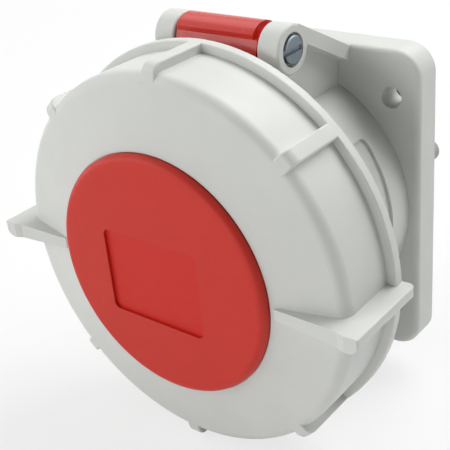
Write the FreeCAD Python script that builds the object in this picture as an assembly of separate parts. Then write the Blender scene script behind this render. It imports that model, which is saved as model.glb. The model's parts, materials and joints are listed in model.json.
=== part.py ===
import FreeCAD, Part
import math
import os

# Industrial panel socket, 32 A, five poles, with a sprung lid and a bayonet locking ring.
# Sizes are in millimetres. X runs to the right seen from the front and Z is up.
# The origin is on the socket's axis, on the panel that the flange's back sits on.
# "Front" values are distances in front of the panel, so they lie along -Y.
# Angles are clockwise seen from the front and start at 12 o'clock.

Vector = FreeCAD.Vector

# Flange with its four fixing holes
HOLE_SPACING_X = 60.0
HOLE_SPACING_Z = 60.0
HOLE_DIAMETER = 5.5
HOLE_BOSS_WALL = 2.6
FLANGE_SIDE_MARGIN = 7.5
FLANGE_END_MARGIN = 12.0
FLANGE_DEPTH = 8.4
FLANGE_CORNER = 7.0
FLANGE_EDGE = 1.6
FLANGE_WALL = 3.0

# Flat seal let into the flange's back
GASKET_LIP = 2.0
GASKET_THICKNESS = 1.2
GASKET_GAP = 0.2

# Contacts
CONTACT_CIRCLE = 16.5
CONTACT_SETBACK = 3.0
CONTACT_GAP = 0.3
SLEEVE_WALL = 1.35
PIN_BORE_DEPTH = 25.5
FINGER_SLIT = 0.8
FINGER_LENGTH = 18.0
SHOULDER = 0.7
WIRE_BORE = 2.6
WIRE_BORE_DEPTH = 20.0
TERMINAL_WALL = 3.4
TERMINAL_GAP = 0.2
ENTRY_GAP = 0.45
GRIP_RING_WIRE = 0.7
GRIP_RING_SETBACK = 2.5
GRIP_RING_SINK = 0.5
POLES = {
    "earth": {"angle": 180.0, "bore": 4.05},
    "l1": {"angle": 252.0, "bore": 3.05},
    "l2": {"angle": 324.0, "bore": 3.05},
    "l3": {"angle": 36.0, "bore": 3.05},
    "neutral": {"angle": 108.0, "bore": 3.05},
}

# Terminal body behind the panel
BODY_MARGIN = 8.0
BODY_BACK = -26.5
BODY_EDGE = 0.8
BODY_GAP = 0.2
BODY_BACK_WALL = 6.0
ACCESS_RADIUS = 3.2
POST_RADIUS = 3.3
POST_LENGTH = 3.5
POST_DROP = 0.5
POST_EDGE = 0.4
POST_WALL = 0.4
POST_PILOT = 1.1

# Contact carrier inside the collar
CARRIER_MARGIN = 3.4
CARRIER_SETBACK = 3.0
CARRIER_WALL = 2.5
CARRIER_EDGE = 1.0
CARRIER_FOOT = 5.0
CARRIER_GAP = 0.3
CARRIER_POST = 5.0
TUBE_WALL = 1.8
TUBE_GAP = 0.05
CARRIER_SEAL_WIDTH = 1.7
CARRIER_SEAL_HEIGHT = 1.0
CARRIER_SCREW_MARGIN = 3.0

# Collar that the plug's shroud slides into
SHROUD_GAP = 4.5
COLLAR_WALL = 2.4
COLLAR_DEPTH = 42.5
FLOOR_FRONT = 14.0
FLOOR_THICKNESS = 3.5
ROOT_WALL = 4.3
KEYWAY_WIDTH = 8.8
KEYWAY_DEPTH = 3.2
KEYWAY_WALL = 2.2

# Sunken field for a label on the collar's right side
LABEL_HALF_ANGLE = 39.5
LABEL_SETBACK = 8.1
LABEL_LENGTH = 20.5
LABEL_CORNER = 1.6
LABEL_DEPTH = 0.75

# Bayonet lugs round the collar
BAYONET_REACH = 5.0
BAYONET_THICKNESS = 3.0
BAYONET_SETBACK = 6.5
LUG_REACH = 4.2
LUG_THICKNESS = 3.6
LUG_CLEARANCE = 2.3
LUG_HALF_ANGLE = 9.0
LOCK_ANGLE = 30.0
TAB_ANGLES = (60.0, 180.0, 300.0)

# Hinge ears on the flange
HINGE_SETBACK = 9.6
HINGE_RISE = 5.7
KNUCKLE_RADIUS = 5.9
KNUCKLE_EDGE = 0.6
EAR_INNER = 12.4
EAR_OUTER = 18.4
EAR_WEB = 2.7
EAR_REACH = 3.6
BAR_THICKNESS = 3.5
BAR_FOOT_DROP = 0.2

# Hinge pin with its slotted head
PIN_RADIUS = 2.0
PIN_GAP = 0.05
PIN_END_WALL = 1.6
PIN_HEAD_RADIUS = 3.3
PIN_HEAD_HEIGHT = 2.0
PIN_HEAD_PROUD = 0.4
PIN_HEAD_EDGE = 0.25
COUNTERBORE_RADIUS = 4.0
SLOT_WIDTH = 1.3
SLOT_DEPTH = 1.0

# Lid spring round the pin
SPRING_WIRE = 0.8
SPRING_GAP = 0.4
SPRING_TURNS = 6
SPRING_PITCH = 1.3
SPRING_POCKET_GAP = 0.5
SPRING_POCKET_SIDE = 1.0
SPRING_LEG_LEAN = 15.0
SPRING_LEG_ROOM = 0.4
SPRING_SEAT_GAP = 0.05

# Lid: hinge arm, back plate and hub
LID_SIDE_GAP = 0.45
LID_NOTCH_WIDTH = 1.3
LID_NOTCH_RADIUS = 4.5
ARM_THICKNESS = 3.0
ARM_CLEARANCE = 1.5
ARM_SIDE_CLEARANCE = 0.7
FLAT_OFFSET = 4.5
FLAT_FOOT = 6.9
FLAT_RISE = 2.7
PLATE_REACH = 3.2
PLATE_STANDOFF = 1.5
PLATE_THICKNESS = 3.05
TONGUE_LAP = 1.0
HUB_INSET = 7.7
HUB_WALL = 4.6
HUB_GAP = 0.1
SEAL_WIDTH = 4.4
SEAL_GROOVE = 0.6
SEAL_GAP = 0.1

# Red cap on the lid's front
CAP_REACH = 4.05
CAP_PROUD = 2.1
CAP_THICKNESS = 2.35
CAP_EDGE = 1.9
CAP_GAP = 0.1
CAP_SCREW_CIRCLE = 16.0
CAP_BOSS_RADIUS = 3.2
RECESS_WIDTH = 28.7
RECESS_HEIGHT = 22.4
RECESS_DEPTH = 0.8
RECESS_CORNER = 1.7
RECESS_X = -1.5
RECESS_Z = -1.5

# Bayonet ring
RING_WALL = 2.5
RING_LAP = 15.0
RING_EDGE = 3.0
RING_SEAT_STEP = 0.25
FACE_FALL = 3.85
FACE_THICKNESS = 3.1
RIM_REACH = 2.2
RIM_WIDTH = 2.7
RIM_EDGE = 0.35
RIB_WIDTH = 3.8
RIB_EDGE = 2.6
RIB_SIDE_EDGE = 0.45
RIB_ANGLES = (0.0, 45.0, 135.0, 180.0, 225.0, 315.0)
RING_GAP = 0.2
RING_FACE_STEP = 0.5
TAB_CLEARANCE = 2.2
TAB_THICKNESS = 3.5
TAB_GAP = 0.3

# Finger wings on the bayonet ring
WING_REACH = 3.3
WING_TOP = 1.9
WING_BOTTOM = 2.4
WING_ROOT_THICKNESS = 2.75
WING_ROOT_CORNER = 0.9
WING_SETBACK = 1.0
WING_START_PROUD = 0.35
WING_PROUD = 1.05
WING_TIP_PROUD = 1.75
WING_TIP_LENGTH = 3.4
WING_TIP_RAMP = 2.0
WING_CORNER = 0.3
WING_BACK_CORNER = 1.5
WING_ROUND_EDGE = 2.6
WING_SHARP_EDGE = 0.35
WING_ROOT_EDGE = 0.5

# Screws
SMALL_SCREW_RADIUS = 1.45
SMALL_SCREW_HEAD = 2.2
SMALL_SCREW_HEAD_HEIGHT = 1.6
SMALL_SCREW_GAP = 0.05
SMALL_SCREW_PASS = 0.2
BODY_SCREW_RADIUS = 1.95
BODY_SCREW_HEAD = 3.6
BODY_SCREW_HEAD_HEIGHT = 2.6
TERMINAL_SCREW_RADIUS = 2.45
TERMINAL_SCREW_FRONT = -12.0
TERMINAL_SCREW_LENGTH = 3.6
TERMINAL_SLOT_DEPTH = 1.2
BODY_SCREW_REACH = 12.5
POST_HOLE_DEPTH = 15.0
DRIVER_SLOT = 0.8

# Shares of a pan head screw's own sizes
HEAD_ROUNDING = 0.35
CROSS_REACH = 0.62
CROSS_DEPTH = 0.55
TIP_CHAMFER = 0.4

# How far a cutting tool runs past the face that it cuts
PAST = 1.0

# How near two places or directions count as one
SAME = 1e-6
SAME_RIM = 0.02

# Radii, from the contacts outwards
BODY_RADIUS = CONTACT_CIRCLE + BODY_MARGIN
CARRIER_SCREW_CIRCLE = BODY_RADIUS + CARRIER_SCREW_MARGIN
CARRIER_RADIUS = BODY_RADIUS + CARRIER_MARGIN
COLLAR_BORE = CARRIER_RADIUS + SHROUD_GAP
COLLAR_RADIUS = COLLAR_BORE + COLLAR_WALL
BAYONET_RADIUS = COLLAR_RADIUS + BAYONET_REACH
LUG_RADIUS = BAYONET_RADIUS + LUG_REACH
RING_BORE = LUG_RADIUS + LUG_CLEARANCE
RING_RADIUS = RING_BORE + RING_WALL
RIM_RADIUS = RING_RADIUS + RIM_REACH
WING_SPAN = RIM_RADIUS + WING_REACH
TAB_RADIUS = BAYONET_RADIUS + TAB_CLEARANCE
PLATE_RADIUS = COLLAR_RADIUS + PLATE_REACH
HUB_RADIUS = COLLAR_RADIUS - HUB_INSET
HUB_HOLE = HUB_RADIUS + HUB_GAP
CAP_RADIUS = HUB_RADIUS + CAP_REACH
WING_START = CAP_RADIUS + WING_SETBACK
SEAL_MIDDLE = COLLAR_RADIUS - COLLAR_WALL / 2
KEYWAY_BOTTOM = COLLAR_BORE + KEYWAY_DEPTH

# Places along the axis, from the panel forwards
EAR_ROOT = FLANGE_DEPTH - FLANGE_WALL
FLOOR_BACK = FLOOR_FRONT - FLOOR_THICKNESS
CARRIER_FOOT_FRONT = FLOOR_FRONT + CARRIER_FOOT
LABEL_BACK = FLANGE_DEPTH + LABEL_SETBACK
LABEL_FRONT = LABEL_BACK + LABEL_LENGTH
COLLAR_FRONT = FLOOR_FRONT + COLLAR_DEPTH
CARRIER_FRONT = COLLAR_FRONT - CARRIER_SETBACK
CONTACT_FRONT = CARRIER_FRONT - CONTACT_SETBACK
BAYONET_FRONT = COLLAR_FRONT - BAYONET_SETBACK
BAYONET_BACK = BAYONET_FRONT - BAYONET_THICKNESS
LUG_BACK = BAYONET_FRONT - LUG_THICKNESS
TAB_FRONT = LUG_BACK - TAB_GAP
RING_BACK = COLLAR_FRONT - RING_LAP
HINGE_FRONT = RING_BACK - HINGE_SETBACK
EAR_FRONT = HINGE_FRONT + EAR_REACH
TONGUE_BACK = COLLAR_FRONT - TONGUE_LAP
PLATE_BACK = COLLAR_FRONT + PLATE_STANDOFF
PLATE_FRONT = PLATE_BACK + PLATE_THICKNESS
RING_FACE_BACK = PLATE_FRONT + RING_GAP
FACE_FRONT = RING_FACE_BACK + FACE_THICKNESS
FACE_SLOPE = FACE_FALL / (RING_RADIUS - CAP_RADIUS)
RING_CORNER_BACK = RING_FACE_BACK - (RING_BORE - CAP_RADIUS) * FACE_SLOPE
RING_WALL_FRONT = RING_CORNER_BACK - RING_FACE_STEP
CAP_FRONT = FACE_FRONT + CAP_PROUD
CAP_BACK = CAP_FRONT - CAP_THICKNESS
RING_SEAT = CAP_BACK - CAP_GAP
CHAMBER_BACK = BODY_BACK + BODY_BACK_WALL

# Places across the axis
FLANGE_WIDTH = HOLE_SPACING_X + 2 * FLANGE_SIDE_MARGIN
FLANGE_HEIGHT = HOLE_SPACING_Z + 2 * FLANGE_END_MARGIN
HINGE_HEIGHT = FLANGE_HEIGHT / 2 + HINGE_RISE
LID_HALF = EAR_INNER - LID_SIDE_GAP
ARM_BOTTOM = BAYONET_RADIUS + ARM_CLEARANCE
ARM_TOP = math.sqrt(RING_BORE ** 2 - LID_HALF ** 2) - ARM_SIDE_CLEARANCE
SPRING_INNER = PIN_RADIUS + SPRING_GAP
SPRING_MEAN = SPRING_INNER + SPRING_WIRE / 2
SPRING_POCKET = SPRING_INNER + SPRING_WIRE + SPRING_POCKET_GAP
SPRING_HALF = SPRING_TURNS * SPRING_PITCH / 2


def point(radius, front, angle=0.0):
    """A point at a radius and clock angle round the socket's axis."""
    turn = math.radians(angle)
    return Vector(radius * math.sin(turn), -front, radius * math.cos(turn))


def turned(shape, angle):
    """A copy turned clockwise about the socket's axis."""
    copy = shape.copy()
    copy.rotate(Vector(0, 0, 0), Vector(0, 1, 0), angle)
    return copy


def revolve(profile):
    """A full turn of a closed profile of (radius, front) points."""
    corners = [Vector(radius, -front, 0) for radius, front in profile]
    face = Part.Face(Part.makePolygon(corners + corners[:1]))
    solid = face.revolve(Vector(0, 0, 0), Vector(0, 1, 0), 360)
    return Part.Solid(solid) if solid.ShapeType == "Shell" else solid


def rod(radius, back, front, centre=Vector(0, 0, 0)):
    """A round bar along the socket's axis, between two front values."""
    start = Vector(centre.x, -front, centre.z)
    return Part.makeCylinder(radius, front - back, start, Vector(0, 1, 0))


def tube(inner, outer, back, front):
    """A plain ring between two radii."""
    return revolve([(inner, back), (outer, back), (outer, front), (inner, front)])


def cross_rod(radius, left, right):
    """A round bar along the hinge's axis, between two X values."""
    start = Vector(left, -HINGE_FRONT, HINGE_HEIGHT)
    return Part.makeCylinder(radius, right - left, start, Vector(1, 0, 0))


def block(x_range, front_range, z_range):
    """A box given by its lowest and highest X, front and Z values."""
    size_x = x_range[1] - x_range[0]
    size_y = front_range[1] - front_range[0]
    size_z = z_range[1] - z_range[0]
    return Part.makeBox(size_x, size_y, size_z, Vector(x_range[0], -front_range[1], z_range[0]))


def rounded_plate(width, height, corner, back, front, x=0.0, z=0.0):
    """A plate across the socket's axis with its four corners rounded."""
    plate = block((x - width / 2, x + width / 2), (back, front), (z - height / 2, z + height / 2))
    corners = [edge for edge in plate.Edges if runs_along(edge, Vector(0, 1, 0))]
    return plate.makeFillet(corner, corners)


def runs_along(edge, direction):
    """True for a straight edge that lies along a direction."""
    if not isinstance(edge.Curve, Part.Line):
        return False
    return abs(abs(edge.tangentAt(edge.FirstParameter).dot(direction)) - 1) < SAME


def rim_edges(shape, radius, front):
    """The full or part circles of one radius at one front value."""
    found = []
    for edge in shape.Edges:
        if not isinstance(edge.Curve, Part.Circle):
            continue
        same_size = abs(edge.Curve.Radius - radius) < SAME_RIM
        same_place = abs(edge.Curve.Center.y + front) < SAME_RIM
        if same_size and same_place:
            found.append(edge)
    return found


def side_prism(outline, x_from, x_to):
    """A plate seen from the side: (front, z) points carried along X."""
    corners = [Vector(x_from, -front, z) for front, z in outline]
    face = Part.Face(Part.makePolygon(corners + corners[:1]))
    return face.extrude(Vector(x_to - x_from, 0, 0))


def sector(inner, outer, back, front, middle, half_angle):
    """A piece of a ring that spans twice half_angle about a clock angle."""
    start = Vector(inner, -back, 0)
    corners = [start, Vector(outer, -back, 0), Vector(outer, -front, 0), Vector(inner, -front, 0)]
    face = Part.Face(Part.makePolygon(corners + [start]))
    piece = face.revolve(Vector(0, 0, 0), Vector(0, 1, 0), 2 * half_angle)
    # The profile starts at 3 o'clock and the turn runs clockwise.
    return turned(piece, middle - half_angle - 90)


def pole_centre(pole):
    """Where a contact's axis crosses the panel."""
    return point(CONTACT_CIRCLE, 0, POLES[pole]["angle"])


def sleeve_radius(pole):
    return POLES[pole]["bore"] + SLEEVE_WALL


def cavity_radius(pole):
    return sleeve_radius(pole) + CONTACT_GAP


def sleeve_outer(pole):
    return cavity_radius(pole) + TUBE_WALL


def terminal_radius(pole):
    return max(WIRE_BORE + TERMINAL_WALL, cavity_radius(pole) + SHOULDER)


def chamber_radius(pole):
    return terminal_radius(pole) + TERMINAL_GAP


def quarter_points(circle):
    """Four places on a circle, midway between the clock's quarter hours."""
    return [point(circle, 0, 45 + 90 * step) for step in range(4)]


def hole_centres():
    """The flange's four fixing holes."""
    half_x = HOLE_SPACING_X / 2
    half_z = HOLE_SPACING_Z / 2
    return [Vector(x, 0, z) for x in (-half_x, half_x) for z in (-half_z, half_z)]


def pan_screw(radius, head_radius, head_height, length, centre, seat):
    """A screw with a cross recess. Its head lies behind its seat and its tip points forwards."""
    top = seat - head_height
    tip = seat + length
    head = rod(head_radius, top, seat, centre)
    head = head.makeFillet(head_height * HEAD_ROUNDING, rim_edges(head, head_radius, top))
    shank = rod(radius, seat - head_height / 2, tip, centre)
    shank = shank.makeChamfer(radius * TIP_CHAMFER, rim_edges(shank, radius, tip))
    reach = head_radius * CROSS_REACH
    recess = (top - PAST, top + head_height * CROSS_DEPTH)
    across = block((centre.x - reach, centre.x + reach), recess,
                   (centre.z - DRIVER_SLOT / 2, centre.z + DRIVER_SLOT / 2))
    upright = block((centre.x - DRIVER_SLOT / 2, centre.x + DRIVER_SLOT / 2), recess,
                    (centre.z - reach, centre.z + reach))
    return head.fuse(shank).cut(across).cut(upright).removeSplitter()


def make_flange():
    """The square plate, hollowed from behind round its fixing holes."""
    plate = rounded_plate(FLANGE_WIDTH, FLANGE_HEIGHT, FLANGE_CORNER, 0, FLANGE_DEPTH)
    front_edges = [edge for edge in plate.Edges if lies_at(edge, FLANGE_DEPTH)]
    plate = plate.makeFillet(FLANGE_EDGE, front_edges)

    pocket_front = FLANGE_DEPTH - FLANGE_WALL
    pocket = rounded_plate(FLANGE_WIDTH - 2 * FLANGE_WALL, FLANGE_HEIGHT - 2 * FLANGE_WALL,
                           FLANGE_CORNER - FLANGE_WALL, -PAST, pocket_front)
    pocket = pocket.cut(rod(COLLAR_RADIUS, -2 * PAST, FLANGE_DEPTH))
    for centre in hole_centres():
        pocket = pocket.cut(rod(HOLE_DIAMETER / 2 + HOLE_BOSS_WALL, -2 * PAST, FLANGE_DEPTH, centre))
    plate = plate.cut(pocket)
    return plate.cut(gasket_blank(0, GASKET_THICKNESS, -PAST))


def lies_at(edge, front):
    """True for an edge that lies wholly at one front value."""
    box = edge.BoundBox
    return abs(box.YMin + front) < SAME and abs(box.YMax + front) < SAME


def gasket_blank(gap, thickness, back=0.0):
    """The flange seal's outline without its holes."""
    inset = 2 * (GASKET_LIP + gap)
    corner = FLANGE_CORNER - GASKET_LIP
    return rounded_plate(FLANGE_WIDTH - inset, FLANGE_HEIGHT - inset, corner, back, thickness)


def make_ear(side):
    """A hinge ear with its root in the flange: a web, a bar along its top and a round knuckle."""
    def spread(near, far):
        return (near, far) if side > 0 else (-far, -near)

    # The bar's top edge runs from the flange's top edge to touch the knuckle.
    foot = (FLANGE_DEPTH, FLANGE_HEIGHT / 2 - BAR_FOOT_DROP)
    run = HINGE_FRONT - foot[0]
    rise = HINGE_HEIGHT - foot[1]
    slope = math.atan2(rise, run) + math.asin(KNUCKLE_RADIUS / math.hypot(run, rise))
    normal = (-math.sin(slope), math.cos(slope))
    touch = (HINGE_FRONT + KNUCKLE_RADIUS * normal[0], HINGE_HEIGHT + KNUCKLE_RADIUS * normal[1])
    drop = (-BAR_THICKNESS * normal[0], -BAR_THICKNESS * normal[1])
    low_foot = foot[1] - BAR_THICKNESS / math.cos(slope)
    bar_outline = [(EAR_ROOT, low_foot), (EAR_ROOT, foot[1]), foot, touch,
                   (touch[0] + drop[0], touch[1] + drop[1]), (foot[0], low_foot)]
    bar = side_prism(bar_outline, *spread(EAR_INNER, EAR_OUTER))

    web_low = math.sqrt(COLLAR_BORE ** 2 - (EAR_INNER + EAR_WEB) ** 2)
    web_outline = [(EAR_ROOT, web_low), (EAR_ROOT, foot[1] - BAR_FOOT_DROP), foot, touch,
                   (HINGE_FRONT, HINGE_HEIGHT), (EAR_FRONT, HINGE_HEIGHT), (EAR_FRONT, web_low)]
    web = side_prism(web_outline, *spread(EAR_INNER, EAR_INNER + EAR_WEB))
    web = web.cut(rod(COLLAR_RADIUS, 0, COLLAR_FRONT))

    knuckle = cross_rod(KNUCKLE_RADIUS, *spread(EAR_INNER, EAR_OUTER))
    ends = [edge for edge in knuckle.Edges if isinstance(edge.Curve, Part.Circle)]
    knuckle = knuckle.makeFillet(KNUCKLE_EDGE, ends)

    pin_hole = cross_rod(PIN_RADIUS + PIN_GAP, -EAR_OUTER + PIN_END_WALL, EAR_OUTER + PAST)
    head_seat = EAR_OUTER + PIN_HEAD_PROUD - PIN_HEAD_HEIGHT
    counterbore = cross_rod(COUNTERBORE_RADIUS, head_seat, EAR_OUTER + PAST)
    return bar.multiFuse([web, knuckle]).cut(pin_hole).cut(counterbore).removeSplitter()


def flange_slab():
    """The room that the flange takes up, from its back to its front."""
    half = FLANGE_HEIGHT
    return block((-half, half), (0, FLANGE_DEPTH), (-half, half))


def key_room(back, front):
    """The room under the collar's wall that the channel for the plug's key takes up."""
    half = KEYWAY_WIDTH / 2 + KEYWAY_WALL
    room = block((-half, half), (back, front), (-KEYWAY_BOTTOM - KEYWAY_WALL, -COLLAR_BORE))
    return room.cut(rod(COLLAR_RADIUS, back - PAST, front + PAST))


def key_slot():
    """The slot that the plug's key slides in."""
    half = KEYWAY_WIDTH / 2
    return block((-half, half), (CARRIER_FOOT_FRONT, COLLAR_FRONT + PAST),
                 (-KEYWAY_BOTTOM, -COLLAR_BORE + COLLAR_WALL))


def collar_length(outer, back, front):
    """A length of the collar's wall."""
    return tube(COLLAR_BORE, outer, back, front).cut(key_slot())


def make_housing():
    """The flange with the feet of the hinge ears."""
    body = make_flange().cut(rod(COLLAR_RADIUS - ROOT_WALL, -PAST, FLANGE_DEPTH + PAST))
    body = body.multiFuse([make_ear(side).common(flange_slab()) for side in (-1, 1)])
    for centre in hole_centres():
        body = body.cut(rod(HOLE_DIAMETER / 2, -PAST, FLANGE_DEPTH + PAST, centre))
    return body.removeSplitter()


def make_collar_base():
    """The collar's root in front of the flange, with the floor that the carrier stands on."""
    base = revolve([
        (COLLAR_RADIUS, CARRIER_FOOT_FRONT), (COLLAR_RADIUS, FLANGE_DEPTH),
        (COLLAR_RADIUS - ROOT_WALL, FLANGE_DEPTH), (COLLAR_RADIUS - ROOT_WALL, FLOOR_BACK),
        (BODY_RADIUS + BODY_GAP, FLOOR_BACK), (BODY_RADIUS + BODY_GAP, FLOOR_FRONT),
        (COLLAR_BORE, FLOOR_FRONT), (COLLAR_BORE, CARRIER_FOOT_FRONT),
    ])
    for centre in quarter_points(CARRIER_SCREW_CIRCLE):
        hole = rod(SMALL_SCREW_RADIUS + SMALL_SCREW_PASS, FLOOR_BACK - PAST, FLOOR_FRONT + PAST, centre)
        base = base.cut(hole)
    return base.cut(label_recess())


def make_key_channel():
    """The channel under the collar, open upwards to the plug's key."""
    return key_room(FLANGE_DEPTH, COLLAR_FRONT).cut(key_slot()).removeSplitter()


def make_hinge_ear(side):
    """The part of a hinge ear that stands in front of the flange."""
    return make_ear(side).cut(flange_slab())


def label_recess():
    """The sunken field for a label on the collar's right side."""
    half = COLLAR_RADIUS * math.sin(math.radians(LABEL_HALF_ANGLE))
    field = block((0, COLLAR_RADIUS + PAST), (LABEL_BACK, LABEL_FRONT), (-half, half))
    corners = [edge for edge in field.Edges if runs_along(edge, Vector(1, 0, 0))]
    field = field.makeFillet(LABEL_CORNER, corners)
    return field.cut(rod(COLLAR_RADIUS - LABEL_DEPTH, 0, COLLAR_FRONT))


def make_collar():
    """The collar's barrel, slotted for the plug's key along its whole length."""
    barrel = collar_length(COLLAR_RADIUS, CARRIER_FOOT_FRONT, BAYONET_BACK)
    return barrel.cut(label_recess()).removeSplitter()


def make_bayonet_flange():
    """The collar's outer flange with its three lugs."""
    lugs = [sector(BAYONET_RADIUS - PAST, LUG_RADIUS, LUG_BACK, BAYONET_FRONT,
                   angle + LOCK_ANGLE, LUG_HALF_ANGLE) for angle in TAB_ANGLES]
    disc = collar_length(BAYONET_RADIUS, BAYONET_BACK, BAYONET_FRONT)
    disc = disc.cut(key_room(BAYONET_BACK - PAST, BAYONET_FRONT + PAST))
    return disc.multiFuse(lugs).removeSplitter()


def make_collar_rim():
    """The collar's end, which the lid's seal rests on."""
    return collar_length(COLLAR_RADIUS, BAYONET_FRONT, COLLAR_FRONT).removeSplitter()


def make_flange_gasket():
    sheet = gasket_blank(GASKET_GAP, GASKET_THICKNESS)
    sheet = sheet.cut(rod(COLLAR_RADIUS - ROOT_WALL + GASKET_GAP, -PAST, FLANGE_DEPTH))
    for centre in hole_centres():
        sheet = sheet.cut(rod(HOLE_DIAMETER / 2, -PAST, FLANGE_DEPTH, centre))
    return sheet


def make_hinge_pin():
    head_seat = EAR_OUTER + PIN_HEAD_PROUD - PIN_HEAD_HEIGHT
    head_face = head_seat + PIN_HEAD_HEIGHT
    shaft = cross_rod(PIN_RADIUS, -EAR_OUTER + PIN_END_WALL + PIN_GAP, head_seat + PIN_HEAD_HEIGHT / 2)
    head = cross_rod(PIN_HEAD_RADIUS, head_seat, head_face)
    outer = [edge for edge in head.Edges if edge.BoundBox.XMin > head_face - SAME]
    head = head.makeChamfer(PIN_HEAD_EDGE, outer)
    slot = block((head_face - SLOT_DEPTH, head_face + PAST),
                 (HINGE_FRONT - 2 * PIN_HEAD_RADIUS, HINGE_FRONT + 2 * PIN_HEAD_RADIUS),
                 (HINGE_HEIGHT - SLOT_WIDTH / 2, HINGE_HEIGHT + SLOT_WIDTH / 2))
    return shaft.fuse(head).cut(slot).removeSplitter()


def make_lid_spring():
    """A torsion coil round the pin, with one leg resting on the collar's top."""
    helix = Part.makeHelix(SPRING_PITCH, SPRING_TURNS * SPRING_PITCH, SPRING_MEAN)
    section = Part.Wire(Part.makeCircle(SPRING_WIRE / 2, Vector(SPRING_MEAN, 0, 0), Vector(0, 1, 0)))
    coil = Part.Wire(helix.Edges).makePipeShell([section], True, True)
    # The coil is made along Z from the +X side, then laid along the hinge with that side up.
    coil.rotate(Vector(0, 0, 0), Vector(0, 1, 0), 90)
    coil.rotate(Vector(0, 0, 0), Vector(1, 0, 0), -90)
    coil.translate(Vector(-SPRING_HALF, -HINGE_FRONT, HINGE_HEIGHT))

    lean = math.radians(SPRING_LEG_LEAN)
    seat = COLLAR_RADIUS + SPRING_SEAT_GAP + SPRING_WIRE / 2 * math.sin(lean)
    leg_length = (HINGE_HEIGHT - seat - SPRING_MEAN * math.sin(lean)) / math.cos(lean)
    leg_start = Vector(-SPRING_HALF, -HINGE_FRONT + SPRING_MEAN, HINGE_HEIGHT)
    leg = Part.makeCylinder(SPRING_WIRE / 2, leg_length, leg_start, Vector(0, 0, -1))
    leg.rotate(Vector(0, -HINGE_FRONT, HINGE_HEIGHT), Vector(-1, 0, 0), SPRING_LEG_LEAN)
    return coil.fuse(leg)


def make_lid():
    """Knuckle, arm, back plate and hub in one moulding."""
    def front_face(radius, gap):
        return RING_FACE_BACK - gap - max(0.0, radius - CAP_RADIUS) * FACE_SLOPE

    plate = revolve([
        (0, PLATE_BACK), (PLATE_RADIUS, PLATE_BACK), (PLATE_RADIUS, front_face(PLATE_RADIUS, RING_GAP)),
        (CAP_RADIUS, PLATE_FRONT), (0, PLATE_FRONT),
    ])
    hub = tube(HUB_RADIUS - HUB_WALL, HUB_RADIUS, PLATE_BACK + PAST, CAP_BACK)
    seal_inner = SEAL_MIDDLE - SEAL_WIDTH / 2
    seal_outer = SEAL_MIDDLE + SEAL_WIDTH / 2

    # The tongue joins the plate to the arm, over the collar's top.
    far = RING_BORE + PAST
    tongue = revolve([
        (seal_outer + SEAL_GAP, TONGUE_BACK), (far, TONGUE_BACK), (far, front_face(far, RING_GAP)),
        (seal_outer + SEAL_GAP, front_face(seal_outer, RING_GAP)),
    ])
    tongue = tongue.common(block((-LID_HALF, LID_HALF), (0, CAP_FRONT), (0, ARM_TOP)))
    flat_front = HINGE_FRONT + FLAT_OFFSET
    flat_back = flat_front - ARM_THICKNESS
    flat_top = HINGE_HEIGHT + FLAT_RISE
    flat_foot = HINGE_FRONT + FLAT_FOOT
    arm = block((-LID_HALF, LID_HALF), (flat_back, TONGUE_BACK + PAST), (ARM_BOTTOM, ARM_TOP))
    riser = side_prism([(flat_back, ARM_BOTTOM), (flat_foot, ARM_BOTTOM), (flat_foot, ARM_TOP),
                        (flat_front, flat_top), (flat_back, flat_top)], -LID_HALF, LID_HALF)
    knuckle = cross_rod(KNUCKLE_RADIUS, -LID_HALF, LID_HALF)
    knuckle = knuckle.cut(block((-EAR_INNER, EAR_INNER), (flat_front, flat_front + KNUCKLE_RADIUS),
                                (HINGE_HEIGHT - 2 * KNUCKLE_RADIUS, HINGE_HEIGHT + 2 * KNUCKLE_RADIUS)))
    notch = cross_rod(KNUCKLE_RADIUS + PAST, LID_HALF - LID_NOTCH_WIDTH, LID_HALF + PAST)
    notch = notch.cut(cross_rod(LID_NOTCH_RADIUS, 0, LID_HALF + 2 * PAST))
    knuckle = knuckle.cut(notch)

    lid = plate.multiFuse([hub, tongue, arm, riser, knuckle])
    lid = lid.cut(tube(seal_inner - SEAL_GAP, seal_outer + SEAL_GAP, PLATE_BACK - PAST,
                       PLATE_BACK + SEAL_GROOVE))
    for centre in quarter_points(CAP_SCREW_CIRCLE):
        hole = rod(SMALL_SCREW_RADIUS + SMALL_SCREW_PASS, PLATE_BACK - PAST, PLATE_FRONT + PAST, centre)
        lid = lid.cut(hole)
    lid = lid.cut(cross_rod(PIN_RADIUS + PIN_GAP, -EAR_OUTER, EAR_OUTER))

    # The spring's pocket is open towards the panel, where its leg comes out.
    pocket_half = SPRING_HALF + SPRING_POCKET_SIDE
    pocket = cross_rod(SPRING_POCKET, -pocket_half, pocket_half)
    window = block((-pocket_half, pocket_half), (HINGE_FRONT - 2 * KNUCKLE_RADIUS, HINGE_FRONT),
                   (HINGE_HEIGHT - 2 * KNUCKLE_RADIUS, HINGE_HEIGHT + SPRING_POCKET + SPRING_LEG_ROOM))
    return lid.cut(pocket).cut(window).removeSplitter()


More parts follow.
